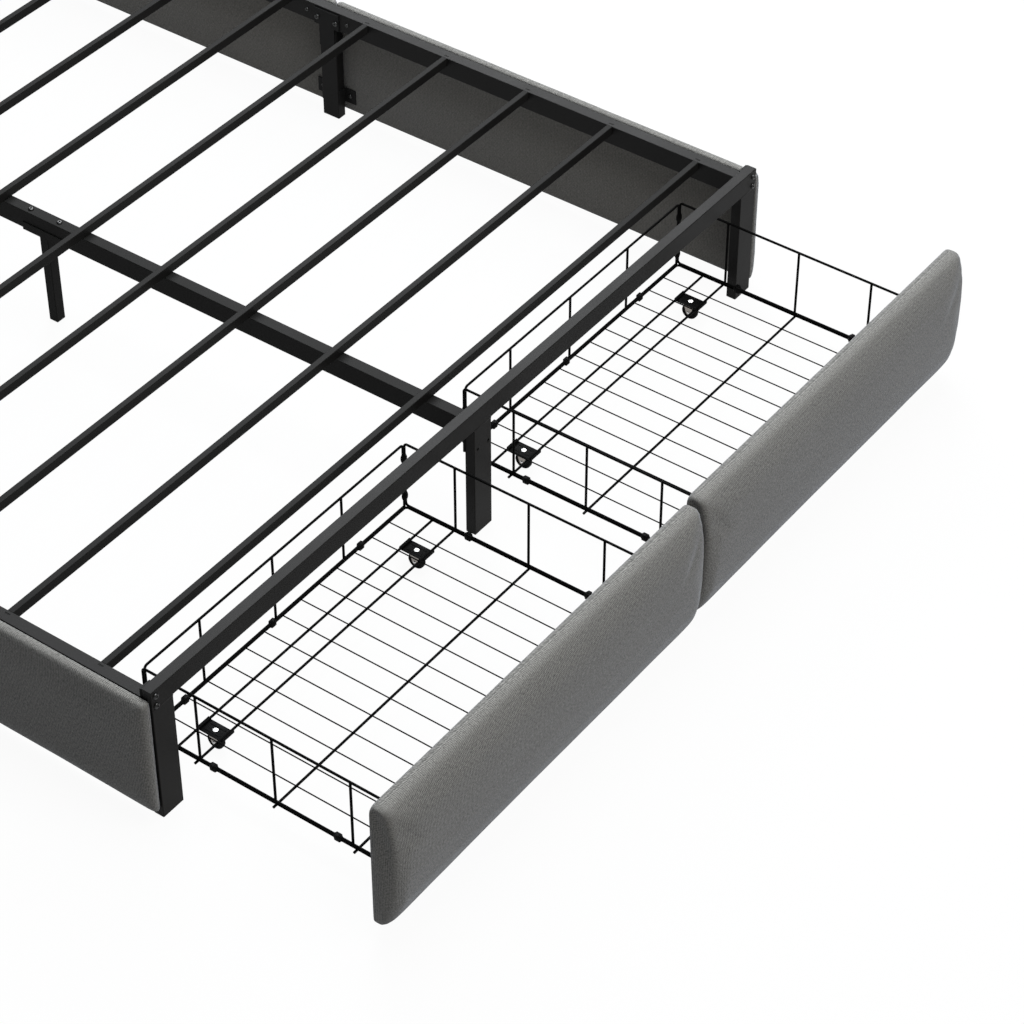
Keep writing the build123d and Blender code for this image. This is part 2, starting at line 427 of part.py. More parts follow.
def build_drawer(name, front_x, basket_x, pulled):
    """One drawer: front, wire basket, clips, casters and wheels."""
    back_face = -HALF_L - CLOSED_GAP - pulled      # the flat back of the upholstered front
    left, right = basket_x, basket_x + BASKET_WIDTH
    back = back_face + BASKET_DEPTH

    # upholstered front: padding over a board that sits in a pocket at its back
    with BuildPart() as front:
        with BuildSketch(Plane(origin=(front_x, back_face, 0), x_dir=(0, -1, 0), z_dir=(-1, 0, 0))):
            crowned_profile(FRONT_THICK, FRONT_BOTTOM, FRONT_TOP, FRONT_TOE, FRONT_BROW)
        extrude(amount=-FRONT_WIDTH)
        pocket_low = (front_x + BOARD_INSET, back_face - FRONT_BOARD_THICK, FRONT_BOTTOM + BOARD_INSET)
        pocket_high = (front_x + FRONT_WIDTH - BOARD_INSET, back_face, FRONT_TOP - BOARD_INSET)
        solid_block(pocket_low, pocket_high, Mode.SUBTRACT)
    save(front, f"{name}_drawer_front")
    with BuildPart() as board:
        solid_block(pocket_low, pocket_high)
    save(board, f"{name}_drawer_board")

    # floor of the basket: cross wires below, frame wire and fine wires on top of them
    with BuildPart() as floor:
        wire([(left, back_face, FLOOR_FRAME_Z), (left, back, FLOOR_FRAME_Z),
              (right, back, FLOOR_FRAME_Z), (right, back_face, FLOOR_FRAME_Z)], FRAME_WIRE, WIRE_BEND)
        for offset in CROSS_FROM_BACK:
            wire([(left - STUB, back - offset, CROSS_Z), (right + STUB, back - offset, CROSS_Z)],
                 CROSS_WIRE)
        middle = (left + right) / 2
        for i in range(FINE_COUNT):
            x = middle + (i - (FINE_COUNT - 1) / 2) * FINE_PITCH
            wire([(x, back_face, FINE_Z), (x, back - FRAME_WIRE / 2 - WIRE_GAP, FINE_Z)], FINE_WIRE)
    save(floor, f"{name}_basket_floor")

    # side grilles: one bent wire, open towards the front, and three uprights
    post_foot = SIDE_FRAME_Z + FRAME_WIRE / 2 + WIRE_GAP
    post_head = BASKET_TOP - FRAME_WIRE / 2 - WIRE_GAP
    for side, x in (("left", left), ("right", right)):
        with BuildPart() as grille:
            wire([(x, back_face, SIDE_FRAME_Z), (x, back, SIDE_FRAME_Z),
                  (x, back, BASKET_TOP), (x, back_face, BASKET_TOP)], FRAME_WIRE, WIRE_BEND)
            for offset in SIDE_POSTS_FROM_BACK:
                wire([(x, back - offset, post_foot), (x, back - offset, post_head)], CROSS_WIRE)
        save(grille, f"{name}_basket_{side}")

    # back grille: its two ends stand inside the side grilles
    near, far = left + FRAME_WIRE + WIRE_GAP, right - FRAME_WIRE - WIRE_GAP
    with BuildPart() as back_grille:
        wire([(near, back, SIDE_FRAME_Z), (near, back, BASKET_TOP),
              (far, back, BASKET_TOP), (far, back, SIDE_FRAME_Z)], FRAME_WIRE, WIRE_BEND)
        inner = FRAME_WIRE / 2 + WIRE_GAP
        wire([(near + inner, back, SIDE_FRAME_Z), (far - inner, back, SIDE_FRAME_Z)], FRAME_WIRE)
        for offset in BACK_POSTS_FROM_LEFT:
            wire([(left + offset, back, post_foot), (left + offset, back, post_head)], CROSS_WIRE)
    save(back_grille, f"{name}_basket_back")

    # moulded clips that join the floor to the grilles, and the grilles to each other
    with BuildPart() as clips:
        pair_z = (FLOOR_FRAME_Z + SIDE_FRAME_Z) / 2
        for x in (left, right):
            for offset in SIDE_CLIPS_FROM_BACK:
                spots = [(x, 0, FLOOR_FRAME_Z), (x, 0, SIDE_FRAME_Z)]
                clip_block((x, back - offset, pair_z), 1, {"spots": spots})
        for offset in BACK_CLIPS_FROM_LEFT:
            spots = [(0, back, FLOOR_FRAME_Z), (0, back, SIDE_FRAME_Z)]
            clip_block((left + offset, back, pair_z), 0, {"spots": spots})
        for side, pair in (("left", (left, near)), ("right", (right, far))):
            for z in CORNER_CLIP_HEIGHTS[side]:
                spots = [(x, back, 0) for x in pair]
                clip_block((sum(pair) / 2, back, z), 2, {"spots": spots, "wide": 0})
    save(clips, f"{name}_basket_clips")

    # casters: a plate under two cross wires, two cheeks and an axle
    spots = {
        "back_left": (left + CASTER_INSET, back - CASTER_FROM_BACK),
        "back_right": (right - CASTER_INSET, back - CASTER_FROM_BACK),
        "front_left": (left + CASTER_INSET, back_face + CASTER_FROM_BACK),
        "front_right": (right - CASTER_INSET, back_face + CASTER_FROM_BACK),
    }
    plate_low = CASTER_PLATE_TOP - PLATE_Z
    cheek_x = WHEEL_WIDTH / 2 + CHEEK_GAP
    with BuildPart() as casters:
        for x, y in spots.values():
            solid_block((x - PLATE_X / 2, y - PLATE_Y / 2, plate_low),
                        (x + PLATE_X / 2, y + PLATE_Y / 2, CASTER_PLATE_TOP))
            for hand in SIDES.values():
                face = Plane(origin=(x + hand * cheek_x, y, 0), x_dir=(0, 1, 0), z_dir=(1, 0, 0))
                with BuildSketch(face):
                    with BuildLine():
                        neck = WHEEL_R - CHEEK_NECK
                        Polyline((-CHEEK_TOP_HALF, plate_low), (CHEEK_TOP_HALF, plate_low),
                                 (CHEEK_FOOT_HALF, neck), (-CHEEK_FOOT_HALF, neck), close=True)
                    make_face()
                    with Locations((0, WHEEL_R)):
                        Circle(CHEEK_ROUND)
                extrude(amount=hand * CHEEK_THICK)
            axle_half = cheek_x + CHEEK_THICK + AXLE_PROUD
            with BuildSketch(Plane(origin=(x - axle_half, y, WHEEL_R), z_dir=(1, 0, 0))):
                Circle(AXLE_D / 2)
            extrude(amount=2 * axle_half)
            with BuildSketch(Plane(origin=(x, y, CASTER_PLATE_TOP))):
                Circle(RIVET_D / 2)
            extrude(amount=RIVET_H, taper=RIVET_TAPER)
    save(casters, f"{name}_casters")
    for place, (x, y) in spots.items():
        with BuildPart() as wheel:
            with BuildSketch(Plane(origin=(x - WHEEL_WIDTH / 2, y, WHEEL_R), z_dir=(1, 0, 0))):
                Circle(WHEEL_R)
                Circle(WHEEL_BORE / 2, mode=Mode.SUBTRACT)
            extrude(amount=WHEEL_WIDTH)
            rims = wheel.edges().filter_by(GeomType.CIRCLE).filter_by(lambda e: e.radius > WHEEL_BORE)
            fillet(rims, TREAD_ROUND)
        save(wheel, f"{name}_wheel_{place}")


for drawer_name, place in DRAWERS.items():
    build_drawer(drawer_name, **place)
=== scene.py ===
import json
import math

import bmesh
import bpy
from mathutils import Matrix, Vector, noise


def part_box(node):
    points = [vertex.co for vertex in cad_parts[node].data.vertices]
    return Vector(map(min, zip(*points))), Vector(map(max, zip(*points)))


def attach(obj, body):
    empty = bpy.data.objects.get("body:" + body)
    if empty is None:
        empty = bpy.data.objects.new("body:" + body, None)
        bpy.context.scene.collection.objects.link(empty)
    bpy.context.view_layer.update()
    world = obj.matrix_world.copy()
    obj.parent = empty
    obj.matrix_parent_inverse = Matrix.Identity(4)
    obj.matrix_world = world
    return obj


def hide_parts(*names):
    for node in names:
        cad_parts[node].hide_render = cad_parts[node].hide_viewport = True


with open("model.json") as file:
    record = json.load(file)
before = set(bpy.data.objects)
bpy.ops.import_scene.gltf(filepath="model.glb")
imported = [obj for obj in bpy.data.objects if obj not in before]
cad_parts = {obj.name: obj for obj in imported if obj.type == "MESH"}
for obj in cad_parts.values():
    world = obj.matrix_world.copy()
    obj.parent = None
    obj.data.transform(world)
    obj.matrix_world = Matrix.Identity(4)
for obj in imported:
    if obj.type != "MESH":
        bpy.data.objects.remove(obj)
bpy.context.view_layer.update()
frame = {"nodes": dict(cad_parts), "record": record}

# A platform bed with two storage drawers: powder-coated steel tube, linen over foam, black wire baskets.
# Everything is in metres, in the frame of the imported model. The drawers stand pulled out.
MM = 0.001
HANDS = {"left": -1, "right": 1}
ENDS = {"foot": -1, "head": 1}


# ---------------------------------------------------------------- camera
def make_camera():
    """Looks down on the foot end from above the left corner of the bed."""
    data = bpy.data.cameras.new("camera")
    data.sensor_width = 36.0
    data.lens = 110.4
    data.clip_end = 60.0
    camera = bpy.data.objects.new("camera", data)
    camera.location = (-3.509, -3.7127, 3.9563)
    camera.rotation_euler = (math.radians(90 - 41.758), 0, math.radians(-53.8))
    bpy.context.scene.collection.objects.link(camera)
    bpy.context.scene.camera = camera


make_camera()


# ---------------------------------------------------------------- shader kit
class Value:
    """One output of a shader node. Arithmetic on it adds Math nodes."""

    def __init__(self, shade, socket):
        self.shade = shade
        self.socket = socket

    def maths(self, operation, *inputs):
        return self.shade.node("ShaderNodeMath", {"operation": operation}, dict(enumerate(inputs)))

    def __add__(self, other):
        return self.maths("ADD", self, other)

    def __sub__(self, other):
        return self.maths("SUBTRACT", self, other)

    def __rsub__(self, other):
        return self.maths("SUBTRACT", other, self)

    def __mul__(self, other):
        return self.maths("MULTIPLY", self, other)

    def __truediv__(self, other):
        return self.maths("DIVIDE", self, other)

    def __pow__(self, other):
        return self.maths("POWER", self, other)

    __radd__ = __add__
    __rmul__ = __mul__

    def cosine(self):
        return self.maths("COSINE", self)

    def larger(self, other):
        return self.maths("MAXIMUM", self, other)

    def spread(self, low, high, to_low=0.0, to_high=1.0):
        """Stretches the range low..high to to_low..to_high, and stops at both."""
        sockets = {"Value": self, "From Min": low, "From Max": high, "To Min": to_low, "To Max": to_high}
        return self.shade.node("ShaderNodeMapRange", {"clamp": True}, sockets)


class Shade:
    """A material being put together."""

    def __init__(self, name):
        self.material = bpy.data.materials.new(name)
        self.material.use_nodes = True
        self.tree = self.material.node_tree
        self.tree.nodes.clear()

    def node(self, kind, settings=None, sockets=None, output=0):
        """Adds a node: its settings first, then values or links for its sockets. Gives one output."""
        made = self.tree.nodes.new(kind)
        for name, value in (settings or {}).items():
            setattr(made, name, value)
        for name, value in (sockets or {}).items():
            if isinstance(value, Value):
                self.tree.links.new(value.socket, made.inputs[name])
            else:
                made.inputs[name].default_value = value
        return Value(self, made.outputs[output]) if made.outputs else None

    def place(self):
        """Object coordinates, in metres."""
        return self.node("ShaderNodeTexCoord", output="Object")

    def grain(self, vector, scale, detail=2.0, stretch=(1, 1, 1)):
        """Soft noise between about 0.3 and 0.7, its coordinates stretched first."""
        if stretch != (1, 1, 1):
            vector = self.node("ShaderNodeMapping", {"vector_type": "POINT"},
                               {"Vector": vector, "Scale": stretch})
        return self.node("ShaderNodeTexNoise", {}, {"Vector": vector, "Scale": scale, "Detail": detail})

    def blend(self, share, first, second):
        """A colour between two colours."""
        sockets = {"Factor": share, "A": (*first, 1) if isinstance(first, tuple) else first,
                   "B": (*second, 1) if isinstance(second, tuple) else second}
        made = self.tree.nodes.new("ShaderNodeMix")
        made.data_type = "RGBA"
        for name, value in sockets.items():
            socket = made.inputs[{"Factor": 0, "A": 6, "B": 7}[name]]
            if isinstance(value, Value):
                self.tree.links.new(value.socket, socket)
            else:
                socket.default_value = value
        return Value(self, made.outputs[2])

    def bump(self, height, depth, strength=1.0):
        return self.node("ShaderNodeBump", {}, {"Height": height, "Distance": depth, "Strength": strength})

    def surface(self, **sockets):
        """The finish itself, with socket names written with underscores. Gives the material."""
        named = {name.replace("_", " "): value for name, value in sockets.items()}
        finish = self.node("ShaderNodeBsdfPrincipled", {}, named)
        self.node("ShaderNodeOutputMaterial", {}, {"Surface": finish})
        return self.material


# ---------------------------------------------------------------- finishes
def powder_coat(name, tone, roughness, peel=0.00012, gloss=0.06):
    """Baked powder coat on steel: a fine orange peel and a faint cloudiness."""
    s = Shade(name)
    place = s.place()
    cloud = s.grain(place, 9.0, 3.0)
    speck = s.grain(place, 1400.0, 1.0)
    colour = s.blend(cloud.spread(0.3, 0.7), tuple(c * 0.86 for c in tone), tuple(c * 1.12 for c in tone))
    rough = roughness + (cloud - 0.5) * 0.16 + (speck - 0.5) * 0.1
    relief = s.grain(place, 620.0, 2.0) * 0.7 + speck * 0.3
    return s.surface(Base_Color=colour, Roughness=rough, Normal=s.bump(relief, peel),
                     Specular_IOR_Level=gloss)


def moulded_plastic(name, tone, roughness, gloss):
    """Injection-moulded plastic with a spark-eroded texture."""
    s = Shade(name)
    place = s.place()
    pits = s.grain(place, 2200.0, 1.0)
    colour = s.blend(s.grain(place, 60.0).spread(0.3, 0.7), tone, tuple(c * 1.35 for c in tone))
    return s.surface(Base_Color=colour, Roughness=roughness + (pits - 0.5) * 0.2,
                     Normal=s.bump(pits, 0.00006), Specular_IOR_Level=gloss)


def plated_steel(name, tone, roughness, metal=0.9):
    """Zinc-plated steel with fine brushing."""
    s = Shade(name)
    place = s.place()
    brushed = s.grain(place, 900.0, 2.0, (1, 1, 0.12))
    colour = s.blend(brushed.spread(0.3, 0.7), tuple(c * 0.8 for c in tone), tone)
    return s.surface(Base_Color=colour, Metallic=metal, Roughness=roughness + (brushed - 0.5) * 0.25,
                     Normal=s.bump(brushed, 0.00003))


def wheel_rubber():
    """Hard black rubber, scuffed where it rolls."""
    s = Shade("wheel_rubber")
    place = s.place()
    scuff = s.grain(place, 420.0, 3.0)
    colour = s.blend(scuff.spread(0.35, 0.7), (0.0025, 0.0025, 0.0025), (0.012, 0.0118, 0.011))
    return s.surface(Base_Color=colour, Roughness=scuff.spread(0.3, 0.7, 0.55, 0.8),
                     Normal=s.bump(scuff, 0.00008), Specular_IOR_Level=0.05)


THREAD = 3.6 * MM             # pitch of the linen's threads


def linen(name, dark, light, coordinates):
    """Plain-weave linen with slubs: long thick and thin places along both threads."""
    s = Shade(name)
    if coordinates == "cloth":
        place = s.node("ShaderNodeUVMap", {"uv_map": "cloth"})
    else:
        place = s.place()
    parts = s.node("ShaderNodeSeparateXYZ", {}, {0: place}).socket.node
    axis = {"cloth": (0, 1), "x": (1, 2), "y": (0, 2)}[coordinates]
    across, up = (Value(s, parts.outputs[i]) for i in axis)
    flat = s.node("ShaderNodeCombineXYZ", {}, {0: across, 1: up})
    drift = (s.grain(flat, 60.0, 2.0) - 0.5) * 3.0
    turn = 2 * math.pi / THREAD
    warp = (across * turn + drift).cosine()
    weft = (up * turn - drift).cosine()
    over = (across * (turn / 2)).cosine() * (up * (turn / 2)).cosine()
    weave = (warp + over).larger(weft - over).spread(-0.5, 1.7)
    rib = s.grain(flat, 1.0, 2.0, (500, 150, 1)).spread(0.30, 0.70)
    weft_slub = s.grain(flat, 1.0, 2.0, (150, 500, 1)).spread(0.30, 0.70)
    fine = s.grain(flat, 1.0, 1.0, (760, 700, 1)).spread(0.30, 0.70)
    mottle = s.grain(flat, 7.0, 3.0).spread(0.3, 0.7)
    tone = weave * 0.36 + rib * 0.26 + weft_slub * 0.20 + fine * 0.16 + mottle * 0.02
    colour = s.blend(tone.spread(0.2, 0.8), dark, light)
    relief = weave * 0.5 + rib * 0.2 + weft_slub * 0.15 + fine * 0.15
    fuzz = s.grain(place, 2600.0, 1.0)
    return s.surface(Base_Color=colour, Roughness=0.82 + (fuzz - 0.5) * 0.2,
                     Normal=s.bump(relief, 0.0006, 0.9), Specular_IOR_Level=0.15,
                     Sheen_Weight=0.22, Sheen_Roughness=0.4, Sheen_Tint=(0.80, 0.87, 1.0, 1))


finishes = {
    "frame_steel": powder_coat("frame_steel", (0.0072, 0.0070, 0.0068), 0.45),
    "slat_steel": powder_coat("slat_steel", (0.0066, 0.0065, 0.0063), 0.52, 0.00014, 0.04),
    "bracket_steel": powder_coat("bracket_steel", (0.0065, 0.0065, 0.0065), 0.48),
    "basket_wire": powder_coat("basket_wire", (0.0016, 0.0016, 0.0016), 0.5, 0.00005, 0.015),
    "caster_steel": powder_coat("caster_steel", (0.0022, 0.0022, 0.0022), 0.45, 0.00008, 0.02),
    "caster_cheek": plated_steel("caster_cheek", (0.34, 0.315, 0.29), 0.42),
    "clip_plastic": moulded_plastic("clip_plastic", (0.0015, 0.0015, 0.0015), 0.5, 0.03),
    "plug_plastic": moulded_plastic("plug_plastic", (0.008, 0.008, 0.008), 0.50, 0.12),
    "bolt_steel": plated_steel("bolt_steel", (0.045, 0.045, 0.045), 0.34),
    "bright_zinc": plated_steel("bright_zinc", (0.86, 0.87, 0.88), 0.25),
    "caster_rivet": plated_steel("caster_rivet", (0.93, 0.93, 0.92), 0.6, 0.2),
    "wheel_rubber": wheel_rubber(),
    "grey_fabric": linen("grey_fabric", (0.020, 0.0197, 0.0184), (0.170, 0.1665, 0.1570), "cloth"),
    # The linings are a real cloth behind the boards, but their tone, darker and browner than the linen, is
    # painted shade of the boards' inner faces.
    "side_lining_painted_shade": linen("side_lining_painted_shade", (0.046, 0.044, 0.040), (0.122, 0.117, 0.106), "x"),
    "drawer_lining_painted_shade": linen("drawer_lining_painted_shade", (0.046, 0.044, 0.040), (0.122, 0.117, 0.106), "y"),
}
slot_of_node = {row["node"]: row["material_slot"] for row in frame["record"]["subparts"]}
for node_name, node in frame["nodes"].items():
    crossing = node_name.startswith(("slat", "centre"))
    finish = "slat_steel" if crossing else slot_of_node[node_name]
    node.data.materials.clear()
    node.data.materials.append(finishes.get(finish, finishes["side_lining_painted_shade"]))


# ---------------------------------------------------------------- making pieces
def show_piece(name, bm, finish, body, crease=35):
    """Makes a bmesh a finished piece: faces outward, edges sharper than the crease left sharp."""
    bmesh.ops.remove_doubles(bm, verts=bm.verts, dist=1e-6)
    bmesh.ops.recalc_face_normals(bm, faces=bm.faces)
    for face in bm.faces:
        face.smooth = True
    for edge in bm.edges:
        edge.smooth = not edge.is_manifold or edge.calc_face_angle() < math.radians(crease)
    mesh = bpy.data.meshes.new(name)
    bm.to_mesh(mesh)
    bm.free()
    mesh.materials.append(finishes[finish])
    piece = bpy.data.objects.new(name, mesh)
    bpy.context.scene.collection.objects.link(piece)
    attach(piece, body)
    return piece


def pattern(build):
    """A small mesh, made once in its own coordinates, to be stamped many times."""
    bm = bmesh.new()
    build(bm)
    bmesh.ops.remove_doubles(bm, verts=bm.verts, dist=1e-6)
    mesh = bpy.data.meshes.new("pattern")
    bm.to_mesh(mesh)
    bm.free()
    return mesh


def turned_to(toward):
    """The turn that brings a pattern's own Z toward a direction."""
    return Vector(toward).to_track_quat("Z", "Y").to_matrix().to_4x4()


def add_copy(bm, shape, matrix):
    """Adds one copy of the shape, moved by the matrix."""
    before = len(bm.verts)
    bm.from_mesh(shape)
    bm.verts.ensure_lookup_table()
    bmesh.ops.transform(bm, matrix=matrix, verts=bm.verts[before:])


def stamp(bm, shape, spots, toward=(0, 0, 1)):
    """Adds a copy of the shape at each spot, its own Z turned toward a direction."""
    for spot in spots:
        add_copy(bm, shape, Matrix.Translation(spot) @ turned_to(toward))


def add_block(bm, low, high, rounding=0.0, segments=2):
    """A block between two corners, with rounded edges."""
    low, high = Vector(low), Vector(high)
    made = bmesh.ops.create_cube(bm, size=1.0)["verts"]
    bmesh.ops.scale(bm, vec=high - low, verts=made)
    bmesh.ops.translate(bm, vec=(low + high) / 2, verts=made)
    if rounding:
        edges = list({edge for vert in made for edge in vert.link_edges})
        bmesh.ops.bevel(bm, geom=edges, offset=rounding, segments=segments, profile=0.5,
                        affect="EDGES", material=-1)


def add_turned(bm, outline, steps=24):
    """Spins (radius, height) points about Z."""
    verts = [bm.verts.new((radius, 0, height)) for radius, height in outline]
    edges = [bm.edges.new(pair) for pair in zip(verts, verts[1:])]
    bmesh.ops.spin(bm, geom=verts + edges, cent=(0, 0, 0), axis=(0, 0, 1),
                   angle=2 * math.pi, steps=steps, use_merge=True)
    bmesh.ops.remove_doubles(bm, verts=bm.verts, dist=1e-6)


def arc(radius, centre, start, end, count):
    """Points on an arc, angles in degrees from the +radius side."""
    turns = [math.radians(start + (end - start) * i / (count - 1)) for i in range(count)]
    return [(centre[0] + radius * math.cos(t), centre[1] + radius * math.sin(t)) for t in turns]


# ---------------------------------------------------------------- bolts
HEAD_RADIUS, HEAD_HEIGHT, SOCKET_RADIUS = 6.0 * MM, 3.3 * MM, 2.1 * MM
SMALL_HEAD = 0.76                           # a screw's head, as a share of a bolt's
BEAM_BOLT_INSET = 10.7 * MM                 # from the end of the beam
BEAM_BOLT_HEIGHTS = (0.262, 0.284)
PLATE_THICK, PLATE_BOLT_X, PLATE_BOLT_Z = 3 * MM, 0.016, 0.205
CENTRE_BOLT_Y, SADDLE_THICK = 0.038, 2 * MM
SEAM_BOLT_Y, SEAM_BOLT_Z = 0.025, 0.249     # where the two halves of a side rail meet
RAIL_SCREW_Y, RAIL_SCREW_Z = 0.055, 0.255
BRACKET_THICK, BRACKET_BOLT_Y, BRACKET_BOLT_Z = 2.5 * MM, 0.03795, 0.0535


def build_button_head(bm):
    """Domed head with a hexagon socket, standing on its own XY plane."""
    dome = arc(HEAD_HEIGHT * 0.9, (HEAD_RADIUS - HEAD_HEIGHT * 0.9, HEAD_HEIGHT * 0.1), 0, 62, 5)
    outline = [(0, -2 * MM), (HEAD_RADIUS * 0.5, -2 * MM), (HEAD_RADIUS * 0.5, 0), (HEAD_RADIUS, 0)] + dome
    outline += [(SOCKET_RADIUS * 1.35, HEAD_HEIGHT), (SOCKET_RADIUS, HEAD_HEIGHT * 0.93),
                (SOCKET_RADIUS, HEAD_HEIGHT * 0.4), (0, HEAD_HEIGHT * 0.3)]
    add_turned(bm, outline)
    for vert in bm.verts:
        flat = Vector((vert.co.x, vert.co.y))
        if 0 < flat.length < SOCKET_RADIUS * 1.05 and vert.co.z > 0:
            turn = math.atan2(flat.y, flat.x) % math.radians(60) - math.radians(30)
            grow = math.cos(math.radians(30)) / math.cos(turn) * 1.1
            vert.co.x, vert.co.y = vert.co.x * grow, vert.co.y * grow


def build_nut(bm):
    """Hexagon nut on a washer, below its own XY plane, with the bolt's end through it."""
    add_turned(bm, [(2.9 * MM, 0), (6.6 * MM, 0), (6.6 * MM, -1.2 * MM), (2.9 * MM, -1.2 * MM),
                    (2.9 * MM, 0)])
    add_turned(bm, [(0, -1.2 * MM), (5.4 * MM, -1.2 * MM), (5.4 * MM, -5 * MM), (4.9 * MM, -5.4 * MM),
                    (0, -5.4 * MM)], steps=6)
    add_turned(bm, [(0, -5 * MM), (2.9 * MM, -5 * MM), (2.9 * MM, -6.6 * MM), (2.3 * MM, -7.2 * MM),
                    (0, -7.2 * MM)], steps=16)


def make_bolts():
    """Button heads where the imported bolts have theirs."""
    head, nut, small_head = pattern(build_button_head), pattern(build_nut), pattern(build_button_head)
    small_head.transform(Matrix.Scale(SMALL_HEAD, 4))
    beam_low, beam_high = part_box("foot_beam")
    rail_low, rail_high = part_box("right_rail_foot")
    centre_low, centre_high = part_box("centre_beam_foot")
    beam_bolt_x = beam_high.x - BEAM_BOLT_INSET
    bm = bmesh.new()
    for way in ENDS.values():
        spots = [(hand * beam_bolt_x, way * -beam_low.y, z)
                 for hand in HANDS.values() for z in BEAM_BOLT_HEIGHTS]
        stamp(bm, head, spots, (0, way, 0))
        plate_face = way * (-beam_high.y - PLATE_THICK)
        spots = [(hand * PLATE_BOLT_X, plate_face, PLATE_BOLT_Z) for hand in HANDS.values()]
        stamp(bm, head, spots, (0, -way, 0))
        stamp(bm, head, [(0, way * CENTRE_BOLT_Y, centre_high.z)])
        stamp(bm, nut, [(0, way * CENTRE_BOLT_Y, centre_low.z - SADDLE_THICK)])
        for hand in HANDS.values():
            inward = (-hand, 0, 0)
            plate_face = hand * (rail_low.x - PLATE_THICK)
            stamp(bm, head, [(plate_face, way * SEAM_BOLT_Y, SEAM_BOLT_Z)], inward)
            stamp(bm, small_head, [(hand * rail_low.x, way * RAIL_SCREW_Y, RAIL_SCREW_Z)], inward)
            bracket_face = hand * (rail_high.x - BRACKET_THICK)
            stamp(bm, small_head, [(bracket_face, way * BRACKET_BOLT_Y, BRACKET_BOLT_Z)], inward)
    piece = show_piece("frame_bolts_turned", bm, "bolt_steel", "bed_frame")
    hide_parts("frame_bolts")


make_bolts()


# ---------------------------------------------------------------- padded pieces
VOXEL = 6.0 * MM
HELD_BACK, HELD_FOOT = 2 * MM, 4 * MM       # the cloth is tight this near the back and the lower edge
PRESSURE, SETTLE_FRAMES = 4.0, 20
SLACK_DEPTH = 8 * MM                        # full slack starts this far in front of the back


def outline_from_shares(shares, depth, low, height):
    return [(depth * a, low + height * b) for a, b in shares]


def padded_block(name, outline, length, end_round, end_share):
    """Foam block: a section of (depth, height) points drawn out along local X, its two ends rounded over.
    Local -Y is the show side and y = 0 is the flat back."""
    bm = bmesh.new()
    section = [bm.verts.new((0, -depth, height)) for depth, height in outline]
    cap = bm.faces.new(section)
    drawn = bmesh.ops.extrude_face_region(bm, geom=[cap])["geom"]
    far_end = [g for g in drawn if isinstance(g, bmesh.types.BMVert)]
    bmesh.ops.translate(bm, vec=(length, 0, 0), verts=far_end)
    cuts = [end_round * (1 - math.cos(math.radians(t))) for t in range(15, 91, 15)]
    for x in cuts + [length - c for c in cuts]:
        bmesh.ops.bisect_plane(bm, geom=bm.verts[:] + bm.edges[:] + bm.faces[:], plane_co=(x, 0, 0),
                               plane_no=(1, 0, 0))
    middle = max(height for depth, height in outline) / 2
    for vert in bm.verts:
        near = max(0.0, 1 - min(vert.co.x, length - vert.co.x) / end_round)
        swell = math.sqrt(1 - min(1.0, near) ** 2)
        vert.co.y *= end_share + (1 - end_share) * swell
        vert.co.z = middle + (vert.co.z - middle) * (0.97 + 0.03 * swell)
    bmesh.ops.recalc_face_normals(bm, faces=bm.faces)
    mesh = bpy.data.meshes.new(name)
    bm.to_mesh(mesh)
    bm.free()
    return mesh


def fixed_mesh(piece):
    """The piece's mesh with its modifiers applied."""
    evaluated = piece.evaluated_get(bpy.context.evaluated_depsgraph_get())
    return bpy.data.meshes.new_from_object(evaluated)


def puff(mesh, cap):
    """Swells a closed foam block under its cloth: remeshed evenly, blown up with its back held, and no
    point moved further than the cap."""
    scene = bpy.context.scene
    piece = bpy.data.objects.new("foam", mesh)
    scene.collection.objects.link(piece)
    remesh = piece.modifiers.new("even", "REMESH")
    remesh.mode = "VOXEL"
    remesh.voxel_size = VOXEL
    piece.data = fixed_mesh(piece)
    piece.modifiers.clear()
    rest = [vert.co.copy() for vert in piece.data.vertices]
    held = piece.vertex_groups.new(name="held")
    tight = [i for i, co in enumerate(rest) if co.y > -HELD_BACK or co.z < HELD_FOOT]
    held.add(tight, 1.0, "REPLACE")
    cloth = piece.modifiers.new("cover", "CLOTH")
    cloth.settings.quality = 5
    cloth.settings.use_pressure = True
    cloth.settings.uniform_pressure_force = PRESSURE
    cloth.settings.vertex_group_mass = "held"
    cloth.settings.effector_weights.gravity = 0.0
    cloth.point_cache.frame_start, cloth.point_cache.frame_end = 1, SETTLE_FRAMES
    for step in range(1, SETTLE_FRAMES + 1):
        scene.frame_set(step)
    swollen = fixed_mesh(piece)
    piece.modifiers.clear()
    for vert, co in zip(swollen.vertices, rest):
        move = vert.co - co
        if move.length > cap:
            vert.co = co + move.normalized() * cap
    piece.data = swollen
    scene.frame_set(1)
    bm = bmesh.new()
    bm.from_mesh(piece.data)
    bpy.data.objects.remove(piece)
    for _ in range(3):
        bmesh.ops.smooth_vert(bm, verts=bm.verts, factor=0.5,
                              use_axis_x=True, use_axis_y=True, use_axis_z=True)
    for vert in bm.verts:
        slack = noise.noise(vert.co * 9.0) * 0.4 + noise.noise(vert.co * 23.0) * 0.15
        vert.co.y += slack * MM * min(1.0, -vert.co.y / SLACK_DEPTH)
        vert.co.y = min(vert.co.y, 0.0)
    return bm


def lay_cloth(mesh, centre, across, outward):
    """A UV map in metres that follows the cloth. Behind the fullest face, depth counts as length
    or height."""
    layer = mesh.uv_layers.new(name="cloth")
    fullest = max((vert.co - centre).dot(outward) for vert in mesh.vertices)
    spot = {}
    for vert in mesh.vertices:
        offset = vert.co - centre
        depth = fullest - offset.dot(outward)
        spot[vert.index] = (offset.dot(across) + depth * vert.normal.dot(across),
                            offset.z + depth * vert.normal.z)
    for loop in mesh.loops:
        layer.data[loop.index].uv = spot[loop.vertex_index]


